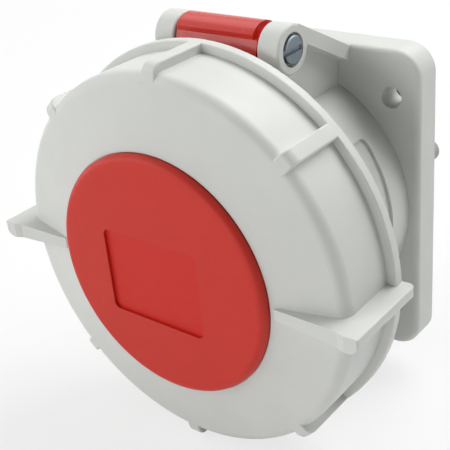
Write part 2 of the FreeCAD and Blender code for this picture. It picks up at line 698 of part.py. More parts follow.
def make_lid_cap():
    """The red disc that holds the ring on the lid's hub."""
    cap = rod(CAP_RADIUS, CAP_BACK, CAP_FRONT)
    cap = cap.makeFillet(CAP_EDGE, rim_edges(cap, CAP_RADIUS, CAP_FRONT))
    recess = rounded_plate(RECESS_WIDTH, RECESS_HEIGHT, RECESS_CORNER, CAP_FRONT - RECESS_DEPTH,
                           CAP_FRONT + PAST, RECESS_X, RECESS_Z)
    cap = cap.cut(recess)
    spigot_radius = HUB_RADIUS - HUB_WALL - HUB_GAP
    cap = cap.fuse(tube(spigot_radius - TUBE_WALL, spigot_radius, PLATE_FRONT + RING_GAP, CAP_BACK))
    for centre in quarter_points(CAP_SCREW_CIRCLE):
        cap = cap.fuse(rod(CAP_BOSS_RADIUS, PLATE_FRONT, CAP_BACK, centre))
    for centre in quarter_points(CAP_SCREW_CIRCLE):
        cap = cap.cut(rod(SMALL_SCREW_RADIUS + SMALL_SCREW_GAP, PLATE_FRONT - PAST, CAP_BACK, centre))
    return cap.removeSplitter()


def make_lid_gasket():
    back = COLLAR_FRONT + SEAL_GAP
    return tube(SEAL_MIDDLE - SEAL_WIDTH / 2, SEAL_MIDDLE + SEAL_WIDTH / 2, back, PLATE_BACK + SEAL_GROOVE)


def ring_profile(radius, edge_front):
    """The ring's outer form with one side wall radius, filled to the axis."""
    return revolve([
        (0, RING_BACK), (radius, RING_BACK), (radius, edge_front),
        (CAP_RADIUS, FACE_FRONT), (0, FACE_FRONT),
    ])


def face_front_at(radius):
    """How far forward the ring's sloping face lies at a radius."""
    return FACE_FRONT - (radius - CAP_RADIUS) * FACE_SLOPE


def make_wing():
    """The finger wing at 3 o'clock, rounded along the lower side of its outer edge."""
    front = FACE_FRONT + WING_PROUD
    tip_front = FACE_FRONT + WING_TIP_PROUD
    tip_start = WING_SPAN - WING_TIP_LENGTH
    plan_outline = [
        (WING_START, RING_BACK), (WING_SPAN, RING_BACK), (WING_SPAN, tip_front - WING_CORNER),
        (WING_SPAN - WING_CORNER, tip_front), (tip_start, tip_front),
        (tip_start - WING_TIP_RAMP, front),
        (WING_START + WING_ROOT_EDGE, FACE_FRONT + WING_START_PROUD),
        (WING_START, FACE_FRONT + WING_START_PROUD - WING_ROOT_EDGE),
    ]
    corners = [Vector(x, -place, -WING_BOTTOM) for x, place in plan_outline]
    plan = Part.Face(Part.makePolygon(corners + corners[:1]))
    plan = plan.extrude(Vector(0, 0, WING_BOTTOM + WING_TOP))
    back_corner = [edge for edge in plan.Edges if runs_along(edge, Vector(0, 0, 1))
                   and edge.BoundBox.XMin > WING_SPAN - SAME and edge.BoundBox.YMin > -RING_BACK - SAME]
    plan = plan.makeFillet(WING_BACK_CORNER, back_corner)

    # Seen from the front, the wing widens from its root outwards, and more so below.
    half_root = WING_ROOT_THICKNESS / 2
    blade_outline = [(WING_START, -half_root), (WING_SPAN, -WING_BOTTOM), (WING_SPAN, WING_TOP),
                     (WING_START, half_root)]
    corners = [Vector(x, -tip_front, z) for x, z in blade_outline]
    blade = Part.Face(Part.makePolygon(corners + corners[:1]))
    blade = blade.extrude(Vector(0, tip_front - RING_BACK, 0))
    blade = blade.makeFillet(WING_ROOT_CORNER, long_edges(blade, WING_START, -half_root, half_root))
    blade = blade.makeFillet(WING_ROUND_EDGE, long_edges(blade, WING_SPAN, -WING_BOTTOM, 0))
    blade = blade.makeFillet(WING_SHARP_EDGE, long_edges(blade, WING_SPAN, 0, WING_TOP))
    return plan.common(blade)


def long_edges(blade, x, low, high):
    """A blade's edges that run from front to back at one X, between two heights."""
    return [edge for edge in blade.Edges if runs_along(edge, Vector(0, 1, 0))
            and abs(edge.BoundBox.XMin - x) < SAME
            and low - SAME < edge.BoundBox.ZMin and edge.BoundBox.ZMax < high + SAME]


def make_locking_ring():
    """The locking ring in one, with its ribs, wings and inner tabs."""
    corner_front = face_front_at(RING_RADIUS)
    ring = ring_profile(RING_RADIUS, corner_front)
    ring = ring.makeFillet(RING_EDGE, rim_edges(ring, RING_RADIUS, corner_front))
    rim = rod(RIM_RADIUS, RING_BACK, RING_BACK + RIM_WIDTH)
    rim_corners = rim_edges(rim, RIM_RADIUS, RING_BACK) + rim_edges(rim, RIM_RADIUS, RING_BACK + RIM_WIDTH)
    rim = rim.makeFillet(RIM_EDGE, rim_corners)

    rib_corner_front = face_front_at(RIM_RADIUS)
    rib_body = ring_profile(RIM_RADIUS, rib_corner_front)
    rib_body = rib_body.makeFillet(RIB_EDGE, rim_edges(rib_body, RIM_RADIUS, rib_corner_front))
    half_rib = RIB_WIDTH / 2
    rib = rib_body.common(block((-half_rib, half_rib), (RING_BACK + RIM_EDGE, CAP_FRONT),
                                (CAP_RADIUS, WING_SPAN)))
    rib_sides = [edge for edge in rib.Edges
                 if runs_along(edge, Vector(0, 1, 0)) and edge.BoundBox.ZMin > RING_RADIUS]
    rib = rib.makeFillet(RIB_SIDE_EDGE, rib_sides)
    pieces = [rim]
    pieces.extend(turned(rib, angle) for angle in RIB_ANGLES)
    wing = make_wing()
    pieces.extend([wing, wing.mirror(Vector(0, 0, 0), Vector(1, 0, 0))])
    ring = ring.multiFuse(pieces)

    hollow = revolve([
        (0, RING_BACK - PAST), (RING_BORE, RING_BACK - PAST), (RING_BORE, RING_CORNER_BACK),
        (CAP_RADIUS, RING_FACE_BACK), (0, RING_FACE_BACK),
    ])
    ring = ring.cut(hollow)
    ring = ring.cut(rod(HUB_HOLE, RING_BACK, CAP_FRONT))
    seat = rod(CAP_RADIUS + RING_SEAT_STEP, RING_SEAT, CAP_FRONT + PAST)
    ring = ring.cut(seat)
    tabs = [sector(TAB_RADIUS, RING_BORE + RING_WALL / 2, TAB_FRONT - TAB_THICKNESS, TAB_FRONT,
                   angle, LUG_HALF_ANGLE) for angle in TAB_ANGLES]
    return ring.multiFuse(tabs).removeSplitter()


def ring_wall_room():
    """The room that the ring's side wall takes up, behind its sloping face."""
    return rod(WING_SPAN + PAST, RING_BACK - PAST, RING_WALL_FRONT)


def make_carrier_foot():
    """The contact carrier's foot ring, screwed to the collar's floor."""
    outer = COLLAR_BORE - CARRIER_GAP
    foot = tube(CARRIER_RADIUS - CARRIER_WALL, outer, FLOOR_FRONT, CARRIER_FOOT_FRONT)
    screw_tip = CARRIER_FOOT_FRONT - SMALL_SCREW_PASS
    for centre in quarter_points(CARRIER_SCREW_CIRCLE):
        foot = foot.cut(rod(SMALL_SCREW_RADIUS + SMALL_SCREW_GAP, FLOOR_FRONT - PAST, screw_tip, centre))
    seal_room = tube(outer - CARRIER_SEAL_WIDTH, COLLAR_RADIUS, FLOOR_FRONT - PAST,
                     FLOOR_FRONT + CARRIER_SEAL_HEIGHT)
    return foot.cut(seal_room)


def make_carrier_wall():
    """The contact carrier's round wall, which the plug's shroud slides over."""
    return tube(CARRIER_RADIUS - CARRIER_WALL, CARRIER_RADIUS, CARRIER_FOOT_FRONT,
                CARRIER_FRONT - CARRIER_WALL)


def make_carrier_face():
    """The contact carrier's end face with a hole for each contact's sleeve."""
    face = rod(CARRIER_RADIUS, CARRIER_FRONT - CARRIER_WALL, CARRIER_FRONT)
    face = face.makeFillet(CARRIER_EDGE, rim_edges(face, CARRIER_RADIUS, CARRIER_FRONT))
    for pole in POLES:
        hole = rod(sleeve_outer(pole) + TUBE_GAP, CONTACT_FRONT, CARRIER_FRONT + PAST, pole_centre(pole))
        face = face.cut(hole)
    return face


def make_carrier_post():
    """The contact carrier's middle post, which the terminal body's screw holds."""
    post = rod(CARRIER_POST, FLOOR_FRONT, CARRIER_FRONT - CARRIER_WALL)
    return post.cut(rod(BODY_SCREW_RADIUS + SMALL_SCREW_GAP, FLOOR_FRONT - PAST,
                        FLOOR_FRONT + POST_HOLE_DEPTH))


def make_contact_sleeve(pole):
    """The insulating tube round a contact, with a narrower mouth in the carrier's face."""
    centre = pole_centre(pole)
    sleeve = rod(sleeve_outer(pole), FLOOR_FRONT, CARRIER_FRONT, centre)
    sleeve = sleeve.cut(rod(cavity_radius(pole), FLOOR_FRONT - PAST, CARRIER_FRONT - CARRIER_WALL, centre))
    return sleeve.cut(rod(POLES[pole]["bore"] + ENTRY_GAP, CONTACT_FRONT, CARRIER_FRONT + PAST, centre))


def make_carrier_seal():
    outer = COLLAR_BORE - SEAL_GAP
    inner = COLLAR_BORE - CARRIER_GAP - CARRIER_SEAL_WIDTH + SEAL_GAP
    return tube(inner, outer, FLOOR_FRONT, FLOOR_FRONT + CARRIER_SEAL_HEIGHT)


def make_terminal_body():
    """The rear insulator with a chamber for each terminal and two posts for a wire clamp."""
    body = rod(BODY_RADIUS, BODY_BACK, FLOOR_FRONT)
    body = body.makeFillet(BODY_EDGE, rim_edges(body, BODY_RADIUS, BODY_BACK))
    post_back = BODY_BACK - POST_LENGTH
    for side in (-1, 1):
        place = Vector(side * (BODY_RADIUS - POST_WALL - POST_RADIUS), 0, -POST_DROP)
        post = rod(POST_RADIUS, post_back, BODY_BACK + PAST, place)
        post = post.makeFillet(POST_EDGE, rim_edges(post, POST_RADIUS, post_back))
        body = body.fuse(post).cut(rod(POST_PILOT, post_back - PAST, BODY_BACK, place))
    for pole in POLES:
        centre = pole_centre(pole)
        body = body.cut(rod(chamber_radius(pole), CHAMBER_BACK, FLOOR_FRONT + PAST, centre))
        body = body.cut(rod(WIRE_BORE + ENTRY_GAP, BODY_BACK - PAST, CHAMBER_BACK + PAST, centre))
        access = Part.makeCylinder(ACCESS_RADIUS, BODY_RADIUS - CONTACT_CIRCLE + PAST,
                                   point(CONTACT_CIRCLE, TERMINAL_SCREW_FRONT, POLES[pole]["angle"]),
                                   point(1, 0, POLES[pole]["angle"]))
        body = body.cut(access)
    body = body.cut(rod(BODY_SCREW_RADIUS + SMALL_SCREW_PASS, BODY_BACK - PAST, FLOOR_FRONT + PAST))
    return body.cut(rod(BODY_SCREW_HEAD + SMALL_SCREW_PASS, BODY_BACK - PAST, CHAMBER_BACK))


def make_contact(pole):
    """A turned brass contact: slit sleeve in front, wire terminal behind."""
    centre = pole_centre(pole)
    sleeve = sleeve_radius(pole)
    back = CHAMBER_BACK + TERMINAL_GAP
    contact = rod(sleeve, FLOOR_FRONT - PAST, CONTACT_FRONT, centre)
    contact = contact.fuse(rod(terminal_radius(pole), back, FLOOR_FRONT, centre))
    contact = contact.cut(rod(POLES[pole]["bore"], CONTACT_FRONT - PIN_BORE_DEPTH,
                              CONTACT_FRONT + PAST, centre))
    contact = contact.cut(rod(WIRE_BORE, back - PAST, back + WIRE_BORE_DEPTH, centre))
    ring_front = CONTACT_FRONT - GRIP_RING_SETBACK
    groove_radius = sleeve - GRIP_RING_SINK
    groove = rod(sleeve + PAST, ring_front - GRIP_RING_WIRE / 2, ring_front + GRIP_RING_WIRE / 2, centre)
    groove = groove.cut(rod(groove_radius, 0, CONTACT_FRONT, centre))
    contact = contact.cut(groove)
    reach = sleeve + PAST
    half_slit = FINGER_SLIT / 2
    slit_span = (CONTACT_FRONT - FINGER_LENGTH, CONTACT_FRONT + PAST)
    across = block((centre.x - reach, centre.x + reach), slit_span,
                   (centre.z - half_slit, centre.z + half_slit))
    upright = block((centre.x - half_slit, centre.x + half_slit), slit_span,
                    (centre.z - reach, centre.z + reach))
    contact = contact.cut(across).cut(upright)
    screw_hole = Part.makeCylinder(TERMINAL_SCREW_RADIUS + SMALL_SCREW_GAP, terminal_radius(pole) + PAST,
                                   point(CONTACT_CIRCLE, TERMINAL_SCREW_FRONT, POLES[pole]["angle"]),
                                   point(1, 0, POLES[pole]["angle"]))
    return contact.cut(screw_hole).removeSplitter()


def make_grip_ring(pole):
    """The spring wire ring that closes a contact's fingers."""
    groove_radius = sleeve_radius(pole) - GRIP_RING_SINK
    middle = groove_radius + GRIP_RING_WIRE / 2
    centre = pole_centre(pole)
    place = Vector(centre.x, -(CONTACT_FRONT - GRIP_RING_SETBACK), centre.z)
    return Part.makeTorus(middle, GRIP_RING_WIRE / 2 - SMALL_SCREW_GAP / 2, place, Vector(0, 1, 0))


def make_terminal_screw(pole):
    """A slotted grub screw, backed off until its tip is level with the wire bore."""
    angle = POLES[pole]["angle"]
    tip = CONTACT_CIRCLE + WIRE_BORE
    direction = point(1, 0, angle)
    screw = Part.makeCylinder(TERMINAL_SCREW_RADIUS, TERMINAL_SCREW_LENGTH,
                              point(tip, TERMINAL_SCREW_FRONT, angle), direction)
    slot = block((-DRIVER_SLOT / 2, DRIVER_SLOT / 2),
                 (TERMINAL_SCREW_FRONT - 2 * TERMINAL_SCREW_RADIUS,
                  TERMINAL_SCREW_FRONT + 2 * TERMINAL_SCREW_RADIUS),
                 (tip + TERMINAL_SCREW_LENGTH - TERMINAL_SLOT_DEPTH, tip + TERMINAL_SCREW_LENGTH + PAST))
    return screw.cut(turned(slot, angle))


def make_terminal_body_screw():
    length = FLOOR_FRONT + BODY_SCREW_REACH - CHAMBER_BACK
    return pan_screw(BODY_SCREW_RADIUS, BODY_SCREW_HEAD, BODY_SCREW_HEAD_HEIGHT, length,
                     Vector(0, 0, 0), CHAMBER_BACK)


def save(name, shape):
    shape.exportStep("parts/" + name + ".step")
    print(name, len(shape.Solids), "solid", round(shape.Volume), "mm3", shape.isValid())


os.makedirs("parts", exist_ok=True)
save("housing", make_housing())
save("collar_base", make_collar_base())
save("collar", make_collar())
save("key_channel", make_key_channel())
save("bayonet_flange", make_bayonet_flange())
save("collar_rim", make_collar_rim())
save("hinge_ear_left", make_hinge_ear(-1))
save("hinge_ear_right", make_hinge_ear(1))
save("flange_gasket", make_flange_gasket())
save("hinge_pin", make_hinge_pin())
save("lid_spring", make_lid_spring())
save("lid", make_lid())
save("lid_cap", make_lid_cap())
save("lid_gasket", make_lid_gasket())
locking_ring = make_locking_ring()
save("bayonet_ring", locking_ring.common(ring_wall_room()))
save("ring_face", locking_ring.cut(ring_wall_room()))
save("carrier_foot", make_carrier_foot())
save("carrier_wall", make_carrier_wall())
save("carrier_face", make_carrier_face())
save("carrier_post", make_carrier_post())
save("carrier_seal", make_carrier_seal())
save("terminal_body", make_terminal_body())
save("terminal_body_screw", make_terminal_body_screw())
for number, place in enumerate(quarter_points(CAP_SCREW_CIRCLE), 1):
    cap_screw = pan_screw(SMALL_SCREW_RADIUS, SMALL_SCREW_HEAD, SMALL_SCREW_HEAD_HEIGHT,
                          CAP_BACK - PLATE_BACK - SMALL_SCREW_PASS, place, PLATE_BACK)
    save("cap_screw_" + str(number), cap_screw)
for number, place in enumerate(quarter_points(CARRIER_SCREW_CIRCLE), 1):
    carrier_screw = pan_screw(SMALL_SCREW_RADIUS, SMALL_SCREW_HEAD, SMALL_SCREW_HEAD_HEIGHT,
                              FLOOR_THICKNESS + CARRIER_FOOT - 2 * SMALL_SCREW_PASS, place, FLOOR_BACK)
    save("carrier_screw_" + str(number), carrier_screw)
for pole_name in POLES:
    save("contact_" + pole_name, make_contact(pole_name))
    save("contact_sleeve_" + pole_name, make_contact_sleeve(pole_name))
    save("grip_ring_" + pole_name, make_grip_ring(pole_name))
    save("terminal_screw_" + pole_name, make_terminal_screw(pole_name))
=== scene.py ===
# %% [markdown]
# # An industrial panel socket
#
# The real object is a round power socket for a panel: a grey flange with a collar, a red sprung
# lid hinged between two ears, and a big grey ring that turns on the lid and locks it. Its shapes
# come ready made from a CAD model, so this notebook is about how such mouldings look: the camera,
# the light, and the finish of plastic, rubber, brass and plated steel.
#
# Lengths are in metres, unless their name ends in mm. +Y points back along the socket's axis, and
# +Z is up.

# %% Load the model
import json
import math

import bpy
from mathutils import Matrix, Vector


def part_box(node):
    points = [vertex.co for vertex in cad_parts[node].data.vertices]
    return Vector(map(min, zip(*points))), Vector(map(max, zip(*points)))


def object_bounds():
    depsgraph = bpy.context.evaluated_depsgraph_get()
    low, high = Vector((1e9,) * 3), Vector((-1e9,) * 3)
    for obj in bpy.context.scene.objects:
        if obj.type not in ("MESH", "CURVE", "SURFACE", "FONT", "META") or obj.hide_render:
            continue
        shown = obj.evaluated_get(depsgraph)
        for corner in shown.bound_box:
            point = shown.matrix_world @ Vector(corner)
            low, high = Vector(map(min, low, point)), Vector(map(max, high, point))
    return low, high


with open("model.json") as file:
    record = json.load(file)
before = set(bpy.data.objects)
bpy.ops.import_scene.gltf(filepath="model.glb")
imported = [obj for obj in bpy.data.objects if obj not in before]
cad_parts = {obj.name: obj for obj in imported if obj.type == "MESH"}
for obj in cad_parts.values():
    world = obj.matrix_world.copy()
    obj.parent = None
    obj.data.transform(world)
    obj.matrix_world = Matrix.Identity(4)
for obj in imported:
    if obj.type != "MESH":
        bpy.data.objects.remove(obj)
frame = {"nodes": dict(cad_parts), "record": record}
cad_box = [[round(v, 6) for v in corner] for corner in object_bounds()]
print(len(frame["nodes"]), "nodes, box in metres:", cad_box)

# %% [markdown]
# ## Camera
#
# The photograph looks down on the socket from its right. A camera could be aimed by a constraint
# that keeps it level, but this one is also rolled a little, or the ring's wings would not slope
# as they do. So it is given as a place, a direction and a roll, and its own right and up follow.

# %% Work out which way the camera faces
CAMERA_PLACE = Vector((0.13792, -0.20044, 0.11311))
CAMERA_LOOK = Vector((-0.57717, 0.67159, -0.46458)).normalized()
CAMERA_ROLL = math.radians(-5.73)

level_right = CAMERA_LOOK.cross(Vector((0, 0, 1))).normalized()
level_up = level_right.cross(CAMERA_LOOK)
camera_right = level_right * math.cos(CAMERA_ROLL) + level_up * math.sin(CAMERA_ROLL)
camera_up = level_up * math.cos(CAMERA_ROLL) - level_right * math.sin(CAMERA_ROLL)
camera_turn = Matrix((camera_right, camera_up, -CAMERA_LOOK)).transposed()
print("camera looks down by", round(math.degrees(math.asin(-CAMERA_LOOK.z)), 1), "degrees")

# %% [markdown]
# The lens is a long one, as for small goods, so that near and far edges differ little in size.
# The plain Standard view shows each colour about as it is written.

# %% Place the camera
LENS_MM = 75.65
SENSOR_MM = 36
NEAREST_SEEN = 0.01

camera_data = bpy.data.cameras.new("socket_camera")
camera_data.lens = LENS_MM
camera_data.sensor_width = SENSOR_MM
camera_data.sensor_fit = "HORIZONTAL"
camera_data.clip_start = NEAREST_SEEN
camera = bpy.data.objects.new("socket_camera", camera_data)
camera.matrix_world = Matrix.Translation(CAMERA_PLACE) @ camera_turn.to_4x4()
bpy.context.scene.collection.objects.link(camera)
bpy.context.scene.camera = camera
bpy.context.scene.view_settings.view_transform = "Standard"
print("camera", round(math.degrees(camera_data.angle), 1), "degrees wide")

# %% [markdown]
# ## White ground
#
# A catalogue picture has a white ground. Lamps bright enough to turn the ground white would
# bleach the socket too. So the ground is told apart by the kind of ray that meets it: the camera,
# and rays that were mirrored or passed through, see it glow, while the light that it passes on to
# the socket stays that of a plain pale surface.

# %% Tell the rays that see from the rays that light
world = bpy.data.worlds.new("studio")
world.use_nodes = True
bpy.context.scene.world = world
world_tree = world.node_tree
world_tree.nodes.clear()


def combine(tree, operation, first, second):
    """One value out of two, by an operation such as MULTIPLY or MAXIMUM."""
    maths = tree.nodes.new("ShaderNodeMath")
    maths.operation = operation
    tree.links.new(first, maths.inputs[0])
    tree.links.new(second, maths.inputs[1])
    return maths.outputs[0]


def seen_or_mirrored(tree):
    """1 for a ray from the camera or from a reflection or a clear surface, else 0."""
    ray = tree.nodes.new("ShaderNodeLightPath").outputs
    mirrored = combine(tree, "MAXIMUM", ray["Is Glossy Ray"], ray["Is Transmission Ray"])
    return combine(tree, "MAXIMUM", ray["Is Camera Ray"], mirrored)


world_seen = seen_or_mirrored(world_tree)
print(len(world_tree.nodes), "nodes tell the rays apart")

# %% [markdown]
# The world is a very large pale room round it all. It is white where it is seen, and the light
# that it sends on the socket is only a gentle fill, so that the lamps give the form its shading.

# %% Set up the world
WORLD_FILL = 0.03


def mix_shaders(tree, share, first, second):
    """The first shader where share is 0, the second where it is 1."""
    blend = tree.nodes.new("ShaderNodeMixShader")
    tree.links.new(share, blend.inputs[0])
    tree.links.new(first, blend.inputs[1])
    tree.links.new(second, blend.inputs[2])
    return blend.outputs[0]


fill = world_tree.nodes.new("ShaderNodeBackground")
fill.inputs["Strength"].default_value = WORLD_FILL
white = world_tree.nodes.new("ShaderNodeBackground")
white.inputs["Color"].default_value = (1, 1, 1, 1)
world_out = world_tree.nodes.new("ShaderNodeOutputWorld")
world_light = mix_shaders(world_tree, world_seen, fill.outputs[0], white.outputs[0])
world_tree.links.new(world_light, world_out.inputs["Surface"])
print("world fill", WORLD_FILL)

# %% [markdown]
# The floor is one large square just under the socket's lowest edge. It is stage, not a piece of
# the object.

# %% Lay the floor
MM = 0.001
FLOOR_HALF = 3.0
FLOOR_DROP_MM = 0.2

floor_height = cad_box[0][2] - FLOOR_DROP_MM * MM
floor_corners = [(x * FLOOR_HALF, y * FLOOR_HALF, floor_height)
                 for x, y in ((-1, -1), (1, -1), (1, 1), (-1, 1))]
floor_mesh = bpy.data.meshes.new("studio_floor")
floor_mesh.from_pydata(floor_corners, [], [(0, 1, 2, 3)])
floor = bpy.data.objects.new("studio_floor", floor_mesh)
bpy.context.scene.collection.objects.link(floor)
print("floor at", round(floor_height / MM, 1), "mm")

# %% [markdown]
# The floor is dull white paper. It mirrors nothing, so the picture has no reflection under the
# socket, only its shadow.

# %% Cover the floor with paper
PAPER_WHITE = (0.86, 0.86, 0.86)
PAPER_ROUGHNESS = 0.9


def plain_material(name, colour, roughness, shine=0.5):
    """A material with one colour, roughness and strength of reflection, to build on."""
    material = bpy.data.materials.new(name)
    material.use_nodes = True
    shader = material.node_tree.nodes["Principled BSDF"]
    shader.inputs["Base Color"].default_value = (*colour, 1)
    shader.inputs["Roughness"].default_value = roughness
    shader.inputs["Specular IOR Level"].default_value = shine
    return material


paper = plain_material("studio_floor", PAPER_WHITE, PAPER_ROUGHNESS, shine=0.0)
floor_mesh.materials.append(paper)
print("paper lies on", 2 * FLOOR_HALF, "m of floor each way")

# %% [markdown]
# Near the socket the paper glows only in part, so that the soft shadow still lies on it. Farther
# out it glows more and more, and it meets the white world with no horizon. An even glow would be
# simpler, but it shows either the horizon or no shadow.

# %% Let the paper glow
GLOW_AT_SOCKET = 0.72
FADE_FROM = 0.2
FADE_TO = 0.8


def place_on_object(tree):
    """Where a point lies on its object, in metres."""
    return tree.nodes.new("ShaderNodeTexCoord").outputs["Object"]


paper_tree = paper.node_tree
distance = paper_tree.nodes.new("ShaderNodeVectorMath")
distance.operation = "LENGTH"
paper_tree.links.new(place_on_object(paper_tree), distance.inputs[0])
fade = paper_tree.nodes.new("ShaderNodeMapRange")
fade.interpolation_type = "SMOOTHSTEP"
fade.inputs["From Min"].default_value = FADE_FROM
fade.inputs["From Max"].default_value = FADE_TO
fade.inputs["To Min"].default_value = GLOW_AT_SOCKET
paper_tree.links.new(distance.outputs["Value"], fade.inputs["Value"])
glow_share = combine(paper_tree, "MULTIPLY", seen_or_mirrored(paper_tree), fade.outputs["Result"])
glow = paper_tree.nodes.new("ShaderNodeEmission").outputs[0]
lit = paper_tree.nodes["Principled BSDF"].outputs[0]
paper_light = mix_shaders(paper_tree, glow_share, lit, glow)
paper_tree.links.new(paper_light, paper_tree.nodes["Material Output"].inputs["Surface"])
print("paper glows fully from", FADE_TO, "m on")

# %% [markdown]
# ## Lamps
#
# In the photograph the tops are the brightest faces, the front is a little brighter on its left
# side, and the rounded edge between front and top is darker than both. So the main lamp stands
# behind and above, a second pair lights the front from low down and from the left, and weaker
# lamps fill the sides. Each is as wide as a studio soft box, for soft edges.

# %% Hang the lamps
LAMPS = {
    # name: (place, width, power in watts)
    "top_back": ((0.10, 0.60, 0.90), 0.7, 9.4),
    "front_low": ((0.0, -1.18, 0.10), 0.6, 5.0),
    "front_left": ((-0.70, -0.73, 0.58), 0.6, 4.2),
    "back_right": ((0.70, 0.67, 0.58), 0.6, 2.7),
    "left_low": ((-0.95, -0.35, -0.02), 0.6, 1.6),
    "right_high": ((0.57, 0.30, 0.94), 0.6, 2.2),
    "left_high": ((-0.57, 0.30, 0.94), 0.6, 1.6),
    "top_left": ((-0.70, -0.20, 0.90), 0.7, 0.8),
}
LAMP_TARGET = Vector((0, -0.03, 0))


def hang_lamp(name, place, width, power):
    """A square soft lamp that faces the socket."""
    data = bpy.data.lights.new(name, "AREA")
    data.size = width
    data.energy = power
    lamp = bpy.data.objects.new(name, data)
    lamp.location = place
    lamp.rotation_euler = (LAMP_TARGET - lamp.location).to_track_quat("-Z", "Y").to_euler()
    bpy.context.scene.collection.objects.link(lamp)


for lamp_name, (place, width, power) in LAMPS.items():
    hang_lamp(lamp_name, place, width, power)
print(len(LAMPS), "lamps")

# %% [markdown]
# ## Moulded plastic
#
# A moulding takes the surface of its steel mould: a very fine even grain, slightly uneven gloss
# where the plastic cooled at different speeds, and a colour that drifts a little. Pictures of
# grain could be wrapped round each piece, but noise textures need no unwrapping. They read the
# object's own coordinates, so a blotch has one real size on all pieces.
#
# Noise mostly lies between 0.3 and 0.7, so that part is stretched over the range that is wanted.

# %% Turn noise into blotches of gloss and colour
NOISE_LOW = 0.3
NOISE_HIGH = 0.7


def noise(tree, place, size_mm, detail=2.0):
    """A noise texture whose blotches are about size_mm wide."""
    texture = tree.nodes.new("ShaderNodeTexNoise")
    texture.inputs["Scale"].default_value = 1 / (size_mm * MM)
    texture.inputs["Detail"].default_value = detail
    tree.links.new(place, texture.inputs["Vector"])
    return texture.outputs["Fac"]


def spread(tree, value, low, high):
    """Stretches noise over the range from low to high."""
    ranged = tree.nodes.new("ShaderNodeMapRange")
    ranged.inputs["From Min"].default_value = NOISE_LOW
    ranged.inputs["From Max"].default_value = NOISE_HIGH
    ranged.inputs["To Min"].default_value = low
    ranged.inputs["To Max"].default_value = high
    tree.links.new(value, ranged.inputs["Value"])
    return ranged.outputs["Result"]


def drift(tree, value, colour, amount):
    """A colour that gets a share darker and lighter with noise."""
    ramp = tree.nodes.new("ShaderNodeValToRGB")
    darkest, lightest = ramp.color_ramp.elements
    darkest.position = NOISE_LOW
    lightest.position = NOISE_HIGH
    darkest.color = (*(c * (1 - amount) for c in colour), 1)
    lightest.color = (*(min(1.0, c * (1 + amount)) for c in colour), 1)
    tree.links.new(value, ramp.inputs["Fac"])
    return ramp.outputs["Color"]


print("noise from", NOISE_LOW, "to", NOISE_HIGH, "is stretched")

# %% [markdown]
# The grain is far too fine to model, so it is bump: light falls on the face as if it rose and
# fell by a few thousandths of a millimetre. The ring and the housing are the same grey, and the
# ring is a touch smoother.

# %% Mould the grey ring and housing
COLOUR_BLOTCH_MM = 9.0
GLOSS_BLOTCH_MM = 2.5
GLOSS_SWING = 0.04
SOCKET_GREY = (0.645, 0.66, 0.63)


def add_grain(tree, height, depth_mm):
    """Makes the face seem to rise by depth_mm where height is 1."""
    bump = tree.nodes.new("ShaderNodeBump")
    bump.inputs["Distance"].default_value = depth_mm * MM
    tree.links.new(height, bump.inputs["Height"])
    tree.links.new(bump.outputs["Normal"], tree.nodes["Principled BSDF"].inputs["Normal"])


def moulded(name, colour, roughness, shine=0.5, grain_mm=0.16, depth_mm=0.004,
            colour_drift=0.015):
    """Plastic or rubber with mould grain, uneven gloss and a slight drift of colour."""
    material = plain_material(name, colour, roughness, shine)
    tree = material.node_tree
    shader = tree.nodes["Principled BSDF"]
    place = place_on_object(tree)
    drifting = drift(tree, noise(tree, place, COLOUR_BLOTCH_MM), colour, colour_drift)
    tree.links.new(drifting, shader.inputs["Base Color"])
    gloss = noise(tree, place, GLOSS_BLOTCH_MM)
    uneven = spread(tree, gloss, roughness - GLOSS_SWING, roughness + GLOSS_SWING)
    tree.links.new(uneven, shader.inputs["Roughness"])
    add_grain(tree, noise(tree, place, grain_mm), depth_mm)
    return material


finishes = {
    "ring_moulding": moulded("ring_grey_plastic", SOCKET_GREY, 0.46),
    "grey_moulding": moulded("housing_grey_plastic", SOCKET_GREY, 0.48),
}
print(len(finishes), "grey finishes")

# %% [markdown]
# The other mouldings differ in colour, gloss and grain. The disc's red is dull and grained, the
# lid's arm and knuckle are glossy, and the seals are rubber: nearly black, dull, with a coarser
# grain and a colour that drifts more.

# %% Mould the reds, the inner plastics and the seals
CAP_RED = (0.565, 0.028, 0.016)
LID_RED = (0.56, 0.020, 0.010)
CARRIER_BLACK = (0.022, 0.022, 0.024)
TERMINAL_GREY = (0.34, 0.35, 0.34)
RUBBER_BLACK = (0.018, 0.018, 0.018)

finishes["red_cap"] = moulded("cap_red_plastic", CAP_RED, 0.50, shine=0.3, depth_mm=0.006)
finishes["red_moulding"] = moulded("lid_red_plastic", LID_RED, 0.24, shine=0.4, depth_mm=0.002)
finishes["carrier_plastic"] = moulded("carrier_black_plastic", CARRIER_BLACK, 0.42)
finishes["rear_plastic"] = moulded("terminal_body_grey_plastic", TERMINAL_GREY, 0.50)
finishes["seal_rubber"] = moulded("seal_rubber", RUBBER_BLACK, 0.72, grain_mm=0.3,
                                  depth_mm=0.012, colour_drift=0.10)
print(len(finishes), "moulded finishes")

# %% [markdown]
# ## Label field
#
# The disc has a sunken field for a label. That part of the mould was polished, so the field has
# no haze and its red looks deeper than the grained red round it. Here that difference in
# reflection is painted: the field is given a deeper red base colour, while its gloss stays the
# same as on the rest of the disc. The disc is one piece, so it isn't cut in two for this: the
# field is found by its place, as a box that takes in its floor and leaves out the disc's front.
# The box is a little wider than the field, and its front lies halfway down the field's wall.

# %% Find the label field
FIELD_CENTRE_MM = -1.5
FIELD_HALF_WIDTH_MM = 14.5
FIELD_HALF_HEIGHT_MM = 11.4
FIELD_MIDWAY_MM = 0.4


